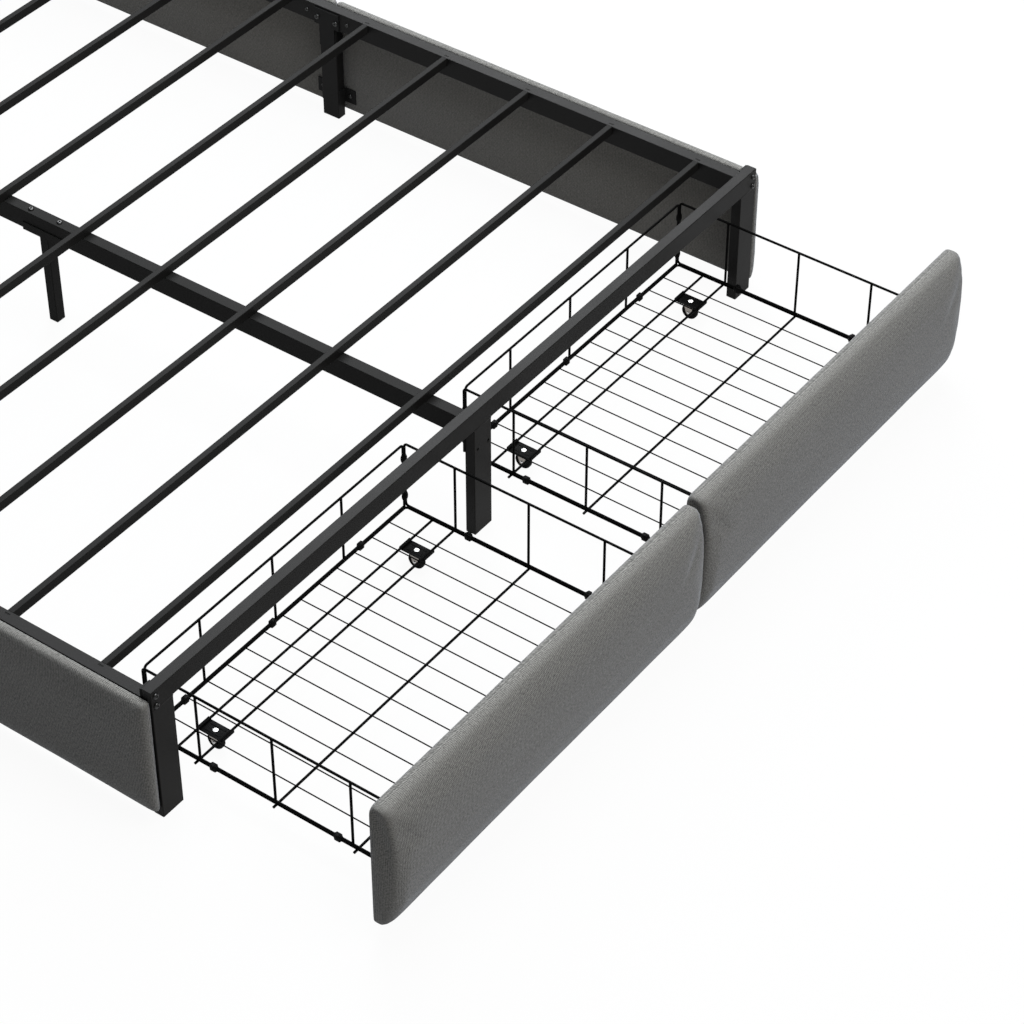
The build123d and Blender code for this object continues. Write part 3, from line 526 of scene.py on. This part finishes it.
def upholster(name, foam, place, across, outward, body, nodes):
    """Covers a copy of the swollen foam with linen, in its place on the bed."""
    bm = foam.copy()
    bmesh.ops.transform(bm, matrix=place, verts=bm.verts)
    piece = show_piece(name, bm, "grey_fabric", body, crease=80)
    low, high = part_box(nodes[0])
    lay_cloth(piece.data, (low + high) / 2, Vector(across), Vector(outward))
    finer = piece.modifiers.new("finer", "SUBSURF")
    finer.levels = finer.render_levels = 1
    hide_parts(*nodes)


# Sections as shares of a piece's depth and height, from the lower back edge round to the upper one.
FRONT_SHARES = [(0.0, 0.0), (0.34, 0.0), (0.60, 0.07), (0.83, 0.23), (0.91, 0.42), (0.92, 0.64),
                (0.87, 0.82), (0.76, 0.93), (0.62, 1.0), (0.50, 1.022), (0.32, 1.03), (0.10, 1.02),
                (0.0, 1.0)]
PANEL_SHARES = [(0.0, 0.0), (0.40, 0.0), (0.74, 0.05), (0.92, 0.16), (0.97, 0.42), (0.98, 0.74),
                (0.96, 0.90), (0.88, 0.972), (0.72, 1.000), (0.40, 1.007), (0.0, 1.010)]
FRONT_END_ROUND, FRONT_END_SHARE = 7 * MM, 0.88     # each end curves back over this length, to this depth
PANEL_END_ROUND, PANEL_END_SHARE = 9 * MM, 0.80
LINING = 0.8 * MM
FOAM_SWELL, PANEL_SWELL = 3.5 * MM, 2.2 * MM
FRONT_SPARE, PANEL_SPARE = 2.5 * MM, 1.5 * MM     # extra foam at each end, which smoothing takes off


def make_drawer_fronts():
    low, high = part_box("left_drawer_front")
    size = high - low
    outline = outline_from_shares(FRONT_SHARES, size.y - LINING, 0, size.z)
    block = padded_block("front_foam", outline, size.x + 2 * FRONT_SPARE, FRONT_END_ROUND, FRONT_END_SHARE)
    foam = puff(block, FOAM_SWELL)
    for side in HANDS:
        low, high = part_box(f"{side}_drawer_front")
        corner = Matrix.Translation((low.x - FRONT_SPARE, high.y - LINING, low.z))
        upholster(f"{side}_front_cover", foam, corner, (1, 0, 0), (0, -1, 0),
                  f"{side}_drawer", [f"{side}_drawer_front"])
    foam.free()


def make_side_panels():
    low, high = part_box("left_panel_foot")
    size = high - low
    outline = outline_from_shares(PANEL_SHARES, size.x - LINING, 0, size.z)
    block = padded_block("panel_foam", outline, size.y + 2 * PANEL_SPARE, PANEL_END_ROUND, PANEL_END_SHARE)
    foam = puff(block, PANEL_SWELL)
    for side, hand in HANDS.items():
        for end in ENDS:
            low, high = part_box(f"{side}_panel_{end}")
            start = high.y + PANEL_SPARE if hand < 0 else low.y - PANEL_SPARE
            back = Vector((hand * (min(abs(low.x), abs(high.x)) + LINING), start, low.z))
            turn = Matrix.Rotation(math.radians(90 * hand), 4, "Z")
            upholster(f"{side}_panel_cover_{end}", foam, Matrix.Translation(back) @ turn,
                      (0, 1, 0), (hand, 0, 0), "bed_frame", [f"{side}_panel_{end}"])
    foam.free()


make_drawer_fronts()
make_side_panels()


# ---------------------------------------------------------------- linings behind the boards
PANEL_LINING_INSETS = (8 * MM, 7 * MM, 6 * MM)      # at each end, below and above
DRAWER_LINING_INSET, LINING_ROUND = 14 * MM, 0.3 * MM


def make_linings():
    """A thin dust cover over the back of each board; those on the drawer fronts are stapled along their
    edge.
    """
    at_end, below, above = PANEL_LINING_INSETS
    inset = DRAWER_LINING_INSET
    for side, hand in HANDS.items():
        for end in ENDS:
            low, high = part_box(f"{side}_panel_{end}")
            bm = bmesh.new()
            inner = hand * min(abs(low.x), abs(high.x))
            faces = sorted((inner, inner + hand * LINING))
            add_block(bm, (faces[0], low.y + at_end, low.z + below),
                      (faces[1], high.y - at_end, high.z - above), LINING_ROUND)
            show_piece(f"{side}_lining_{end}", bm, "side_lining_painted_shade", "bed_frame")
        low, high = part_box(f"{side}_drawer_front")
        bm = bmesh.new()
        add_block(bm, (low.x + inset, high.y - LINING, low.z + inset),
                  (high.x - inset, high.y, high.z - inset), LINING_ROUND)
        lining = show_piece(f"{side}_drawer_lining_painted_shade", bm, "drawer_lining_painted_shade", f"{side}_drawer")
        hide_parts(f"{side}_drawer_board")
        make_staples(f"{side}_drawer_staples", low, high, f"{side}_drawer")
    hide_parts("panel_boards")


STAPLE_PITCH, STAPLE_LONG, STAPLE_WIRE, STAPLE_INSET = 42 * MM, 10 * MM, 0.9 * MM, 19 * MM


def make_staples(name, low, high, body):
    """Flat wire staples round the lining of a drawer front, along its edge."""
    edge = STAPLE_INSET
    bm = bmesh.new()
    half = Vector((STAPLE_LONG / 2, STAPLE_WIRE / 2, STAPLE_WIRE / 2))
    for z in (low.z + edge, high.z - edge):
        for i in range(round((high.x - low.x - 2 * edge) / STAPLE_PITCH) + 1):
            spot = Vector((low.x + edge + STAPLE_LONG / 2 + i * STAPLE_PITCH, high.y, z))
            add_block(bm, spot - half, spot + half, 0.2 * MM, 1)
    turned = Vector((half.z, half.y, half.x))
    for x in (low.x + edge, high.x - edge):
        for i in range(1, round((high.z - low.z - 2 * edge) / STAPLE_PITCH)):
            spot = Vector((x, high.y, low.z + edge + i * STAPLE_PITCH))
            add_block(bm, spot - turned, spot + turned, 0.2 * MM, 1)
    show_piece(name, bm, "bright_zinc", body)


make_linings()


# ---------------------------------------------------------------- wheels and casters
WHEEL_HALF, AXLE_HALF = 5.5 * MM, 8.7 * MM
AXLE_HEIGHT, PLATE_TOP = 17.5 * MM, 42 * MM         # above the floor


def build_wheel(bm):
    """Solid wheel about its own Z: a grooved tread, a dished side and a hub round the bore."""
    half = WHEEL_HALF
    # radius and depth below the side's face, in millimetres, from the bore out to the groove
    side = [(2.08, 0.7), (4.4, 0.7), (5.2, 1.9), (11.8, 1.9), (13.2, 0.3), (15.4, 0.0), (16.8, 1.0),
            (17.5, 2.6), (17.5, 4.7), (17.0, 5.0)]
    one = [(r * MM, -half + inset * MM) for r, inset in side]
    other = [(r, -height) for r, height in reversed(one)]
    add_turned(bm, one + other + [one[0]], steps=40)


def build_rivet(bm):
    """Low domed rivet head, standing on its own XY plane."""
    dome = arc(7.2 * MM, (0, -5.0 * MM), 46, 90, 6)
    add_turned(bm, [(0, -0.5 * MM), (5.0 * MM, -0.5 * MM)] + dome)


def build_axle(bm):
    """Axle with a domed head at each end, about its own Z."""
    head = arc(2.9 * MM, (0, AXLE_HALF - 2.1 * MM), 20, 90, 5)
    under_head = head[0][1]
    tail = [(r, -height) for r, height in reversed(head)]
    add_turned(bm, tail + [(2.0 * MM, -under_head), (2.0 * MM, under_head)] + head)


def add_cheek(bm, x, thick):
    """One side of the fork: wide under the plate, round about the axle."""
    radius, centre = 5.6 * MM, (0, AXLE_HEIGHT)
    outline = [(-13 * MM, 40 * MM)] + arc(radius, centre, 200, 340, 9) + [(13 * MM, 40 * MM)]
    face = bm.faces.new([bm.verts.new((x, y, z)) for y, z in outline])
    drawn = bmesh.ops.extrude_face_region(bm, geom=[face])["geom"]
    moved = [g for g in drawn if isinstance(g, bmesh.types.BMVert)]
    bmesh.ops.translate(bm, vec=(thick, 0, 0), verts=moved)


def build_fork(bm):
    add_cheek(bm, 6.1 * MM, 1.5 * MM)
    add_cheek(bm, -6.1 * MM, -1.5 * MM)


def build_plate(bm):
    """Pressed plate whose two ends turn up round the cross wires."""
    half_x, half_y, top = 16 * MM, 28 * MM, PLATE_TOP
    add_block(bm, (-half_x, -half_y, top - 2 * MM), (half_x, half_y, top), 0.8 * MM)
    for way in (-1, 1):
        lip = sorted((way * (half_y - 0.3 * MM), way * (half_y + 1.3 * MM)))
        add_block(bm, (-half_x, lip[0], top - 2 * MM), (half_x, lip[1], top + 4.2 * MM), 0.6 * MM)
    for way in (-1, 1):
        rib = sorted((way * 6 * MM, way * 10 * MM))
        add_block(bm, (rib[0], -17 * MM, top - 0.6 * MM), (rib[1], 17 * MM, top + 0.7 * MM), 0.6 * MM)


def make_casters():
    wheel, rivet, axle = pattern(build_wheel), pattern(build_rivet), pattern(build_axle)
    fork, plate = pattern(build_fork), pattern(build_plate)
    for side in HANDS:
        spots = []
        for place in ("back_left", "back_right", "front_left", "front_right"):
            node = f"{side}_wheel_{place}"
            low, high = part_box(node)
            spots.append((low + high) / 2)
            bm = bmesh.new()
            stamp(bm, wheel, [spots[-1]], (1, 0, 0))
            piece = show_piece(f"{side}_rolling_{place}", bm, "wheel_rubber", node)
            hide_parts(node)
        floor_spots = [(spot.x, spot.y, 0) for spot in spots]
        body = f"{side}_drawer"
        bm = bmesh.new()
        stamp(bm, plate, floor_spots)
        plates = show_piece(f"{side}_caster_plates", bm, "caster_steel", body)
        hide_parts(f"{side}_casters")
        bm = bmesh.new()
        stamp(bm, fork, floor_spots)
        show_piece(f"{side}_caster_forks", bm, "caster_cheek", body)
        bm = bmesh.new()
        stamp(bm, axle, spots, (1, 0, 0))
        show_piece(f"{side}_caster_axles", bm, "bright_zinc", body)
        bm = bmesh.new()
        stamp(bm, rivet, [(spot.x, spot.y, PLATE_TOP) for spot in spots])
        show_piece(f"{side}_caster_rivets", bm, "caster_rivet", body)


make_casters()


# ---------------------------------------------------------------- clips on the wires
def build_floor_clip(bm):
    """Snap clip round two wires, one above the other, that run along local Y."""
    add_block(bm, (-4.7 * MM, -6.5 * MM, -7.2 * MM), (4.7 * MM, 6.5 * MM, 7.2 * MM), 1.6 * MM, 3)
    add_block(bm, (-3.4 * MM, -8.6 * MM, -5.6 * MM), (3.4 * MM, 8.6 * MM, 5.6 * MM), 1.8 * MM, 3)
    add_block(bm, (-1.2 * MM, -4.0 * MM, 6.4 * MM), (5.6 * MM, 4.0 * MM, 8.6 * MM), 0.7 * MM)
    add_block(bm, (-5.5 * MM, -1.2 * MM, -5.5 * MM), (5.5 * MM, 1.2 * MM, 5.5 * MM), 0.6 * MM)


def build_corner_clip(bm):
    """Spindle-shaped clip round two upright wires that stand side by side along X."""
    half, slim, full = 13 * MM, 3.1 * MM, 4.9 * MM
    side = [(slim, -half), (slim * 1.1, -half * 0.72), (full, -half * 0.30), (full * 1.04, -half * 0.12)]
    outline = [(0, -half)] + side + [(r, -h) for r, h in reversed(side)] + [(0, half)]
    add_turned(bm, outline, steps=20)
    bmesh.ops.scale(bm, vec=(1.5, 1, 1), verts=bm.verts)
    add_block(bm, (-7.9 * MM, -1.4 * MM, -3.2 * MM), (7.9 * MM, 1.4 * MM, 3.2 * MM), 0.7 * MM)


WIRE = 5.0 * MM                                     # thickness of the basket's frame wires
SIDE_CLIPS = (146 * MM, 418 * MM)                   # from the back of the basket
BACK_CLIPS = (95 * MM, 335 * MM, 590 * MM)          # from the left of the basket
LOWER_CLIP = 79 * MM                                # heights of the corner clips
UPPER_CLIPS = {-1: 150 * MM, 1: 171 * MM}


def make_clips():
    """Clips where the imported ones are, found from the basket's own wires."""
    floor_clip, corner_clip = pattern(build_floor_clip), pattern(build_corner_clip)
    upright = turned_to((0, 0, 1))
    for side in HANDS:
        low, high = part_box(f"{side}_basket_left")
        left, back, pair_z = (low.x + high.x) / 2, high.y - WIRE / 2, low.z
        low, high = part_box(f"{side}_basket_right")
        right = (low.x + high.x) / 2
        bm = bmesh.new()
        for x, hand in ((left, -1), (right, 1)):
            mirrored = Matrix.Scale(-hand, 4, (1, 0, 0))
            for offset in SIDE_CLIPS:
                add_copy(bm, floor_clip, Matrix.Translation((x, back - offset, pair_z)) @ mirrored @ upright)
            stamp(bm, corner_clip, [(x - hand * WIRE / 2, back, z) for z in (LOWER_CLIP, UPPER_CLIPS[hand])])
        quarter = Matrix.Rotation(math.radians(90), 4, "Z")
        for offset in BACK_CLIPS:
            add_copy(bm, floor_clip, quarter @ Matrix.Translation((back, -left - offset, pair_z)) @ upright)
        clips = show_piece(f"{side}_wire_clips", bm, "clip_plastic", f"{side}_drawer")
        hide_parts(f"{side}_basket_clips")


make_clips()


# ---------------------------------------------------------------- tube ends and welds
def make_tube_ends():
    """Moulded plugs in the open ends of the beams and the feet of the legs."""
    bm = bmesh.new()
    wall = 1.5 * MM
    for end in ENDS:
        low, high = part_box(f"{end}_beam")
        for x, hand in ((low.x, -1), (high.x, 1)):
            depth = sorted((x - hand * 0.3 * MM, x - hand * 6 * MM))
            add_block(bm, (depth[0], low.y + wall, low.z + wall),
                      (depth[1], high.y - wall, high.z - wall), 1.2 * MM, 3)
            boss = sorted((x + hand * 0.2 * MM, x - hand * 4 * MM))
            add_block(bm, (boss[0], low.y + 5 * MM, low.z + 9 * MM),
                      (boss[1], high.y - 5 * MM, high.z - 9 * MM), 1.0 * MM, 3)
    legs = [f"{end}_leg_{place}" for end in ENDS for place in ("left", "middle", "right")]
    for leg in legs + [f"{side}_side_leg" for side in HANDS]:
        low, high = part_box(leg)
        add_block(bm, (low.x + wall, low.y + wall, 0), (high.x - wall, high.y - wall, 12 * MM), 1.2 * MM, 3)
    plugs = show_piece("moulded_plugs", bm, "plug_plastic", "bed_frame")
    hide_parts("tube_plugs")


def make_welds():
    """Ground weld over the joint of each leg and its beam, flush with both."""
    bm = bmesh.new()
    proud = 0.05 * MM
    for end in ENDS:
        for place in ("left", "middle", "right"):
            low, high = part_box(f"{end}_leg_{place}")
            add_block(bm, (low.x - proud, low.y - proud, high.z - 2.2 * MM),
                      (high.x + proud, high.y + proud, high.z + 2.0 * MM), 0.3 * MM)
    show_piece("ground_welds", bm, "frame_steel", "bed_frame")


make_tube_ends()
make_welds()


# ---------------------------------------------------------------- floor and light
def make_floor():
    """Pale paper. The camera sees it nearly white, and the bed gets less light from it than that."""
    s = Shade("floor")
    cloud = s.grain(s.place(), 0.8, 2.0)
    tone = s.blend(cloud.spread(0.3, 0.7), (0.155, 0.155, 0.155), (0.165, 0.165, 0.165))
    paper = s.node("ShaderNodeBsdfPrincipled", {}, {
        "Base Color": tone, "Roughness": 0.9, "Specular IOR Level": 0.1,
        "Emission Color": (1.0, 1.0, 1.0, 1), "Emission Strength": 0.56})
    glow = s.node("ShaderNodeEmission", {}, {"Color": (1.0, 1.0, 1.0, 1), "Strength": 1.0})
    seen = s.node("ShaderNodeLightPath", output="Is Camera Ray") * 0.88
    lit = s.node("ShaderNodeMixShader", {}, {0: seen, 1: paper, 2: glow})
    s.node("ShaderNodeOutputMaterial", {}, {"Surface": lit})
    bm = bmesh.new()
    bmesh.ops.create_grid(bm, x_segments=1, y_segments=1, size=20.0)
    mesh = bpy.data.meshes.new("floor")
    bm.to_mesh(mesh)
    bm.free()
    mesh.materials.append(s.material)
    floor = bpy.data.objects.new("floor", mesh)
    bpy.context.scene.collection.objects.link(floor)


def add_light(name, spot, target, size, power, tint):
    """A soft square light of a size in metres and a power in watts, turned toward a target."""
    data = bpy.data.lights.new(name, "AREA")
    data.color = tint
    data.shape = "SQUARE"
    data.size = size
    data.energy = power
    light = bpy.data.objects.new(name, data)
    light.location = spot
    light.rotation_mode = "QUATERNION"
    light.rotation_quaternion = (Vector(target) - Vector(spot)).to_track_quat("-Z", "Y")
    bpy.context.scene.collection.objects.link(light)


def make_light():
    """Three soft lights, a dim fill, and a white backdrop that only the camera sees."""
    world = bpy.data.worlds.new("studio")
    world.use_nodes = True
    tree = world.node_tree
    fill, backdrop = tree.nodes["Background"], tree.nodes.new("ShaderNodeBackground")
    fill.inputs["Color"].default_value = (0.95, 0.97, 1.0, 1)
    fill.inputs["Strength"].default_value = 0.06
    backdrop.inputs["Color"].default_value = (1.0, 1.0, 1.0, 1)
    seen, both = tree.nodes.new("ShaderNodeLightPath"), tree.nodes.new("ShaderNodeMixShader")
    tree.links.new(seen.outputs["Is Camera Ray"], both.inputs[0])
    tree.links.new(fill.outputs[0], both.inputs[1])
    tree.links.new(backdrop.outputs[0], both.inputs[2])
    tree.links.new(both.outputs[0], tree.nodes["World Output"].inputs["Surface"])
    bpy.context.scene.world = world
    bpy.context.scene.view_settings.view_transform = "Standard"
    add_light("key", (0.6, -4.6, 6.0), (0, -0.6, 0.1), 4.5, 575, (1.0, 0.982, 0.955))
    add_light("overhead", (0.8, -0.4, 6.5), (0, -0.4, 0.1), 3.5, 640, (0.91, 0.955, 1.0))
    add_light("back", (4.2, 2.4, 4.6), (0, -0.6, 0.1), 3.5, 560, (0.965, 0.98, 1.0))


make_floor()
make_light()
